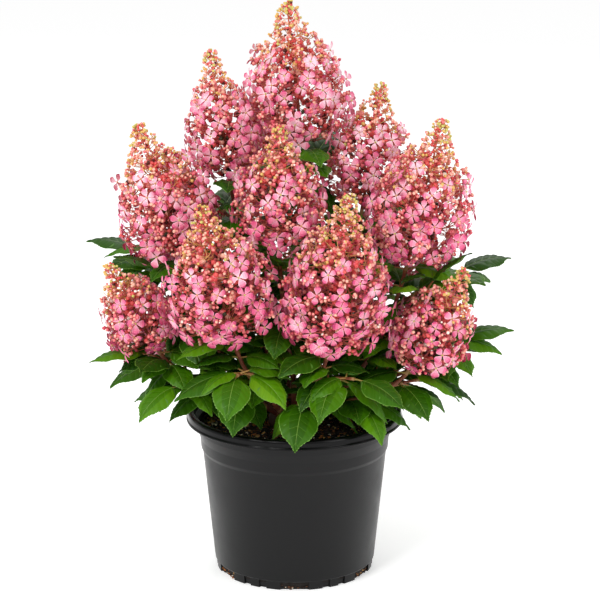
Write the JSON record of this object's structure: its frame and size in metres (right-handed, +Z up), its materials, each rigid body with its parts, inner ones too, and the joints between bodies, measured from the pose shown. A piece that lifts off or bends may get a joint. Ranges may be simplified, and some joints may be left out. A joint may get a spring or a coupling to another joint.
{
  "type": "potted panicle hydrangea",
  "caption": "Flowering shrub in a round black nursery pot: canes rise from one woody crown, each with toothed leaves and a cone-shaped pink flower head.",
  "frame": {"origin": "middle of the pot's flat underside", "axes": "+Z up the plant; the side shown in the picture faces -Y, with +X to its right"},
  "size_m": [0.5598, 0.4694, 0.729],
  "materials": {
    "pot_plastic": "moulded black polyethylene, satin",
    "potting_mix": "damp composted bark with coarse bits",
    "bark": "red-brown young bark",
    "leaf": "mid-green leaf, soft sheen",
    "petal": "pink petals and buds, matt"
  },
  "bodies": {
    "root": {"pot": "pot_plastic", "potting_mix": "potting_mix", "root_crown": "bark", "cane_top": "bark", "cane_upper_left": "bark", "cane_upper_right": "bark", "cane_left": "bark", "cane_right": "bark", "cane_middle": "bark", "cane_front_left": "bark", "cane_front_right": "bark", "cane_low_left": "bark", "cane_low_right": "bark", "cane_back_high": "bark", "cane_back_left": "bark", "cane_back_right": "bark", "cane_back_middle": "bark", "cane_back_low_left": "bark", "cane_back_low_right": "bark", "cane_side_left": "bark", "cane_side_right": "bark", "cane_side_low": "bark", "leaves_top": "leaf", "leaves_upper_left": "leaf", "leaves_upper_right": "leaf", "leaves_left": "leaf", "leaves_right": "leaf", "leaves_middle": "leaf", "leaves_front_left": "leaf", "leaves_front_right": "leaf", "leaves_low_left": "leaf", "leaves_low_right": "leaf", "leaves_back_high": "leaf", "leaves_back_left": "leaf", "leaves_back_right": "leaf", "leaves_back_middle": "leaf", "leaves_back_low_left": "leaf", "leaves_back_low_right": "leaf", "leaves_side_left": "leaf", "leaves_side_right": "leaf", "leaves_side_low": "leaf", "bloom_top": "petal", "bloom_upper_left": "petal", "bloom_upper_right": "petal", "bloom_left": "petal", "bloom_right": "petal", "bloom_middle": "petal", "bloom_front_left": "petal", "bloom_front_right": "petal", "bloom_low_left": "petal", "bloom_low_right": "petal", "bloom_back_high": "petal", "bloom_back_left": "petal", "bloom_back_right": "petal", "bloom_back_middle": "petal", "bloom_back_low_left": "petal", "bloom_back_low_right": "petal"}
  },
  "joints": []
}
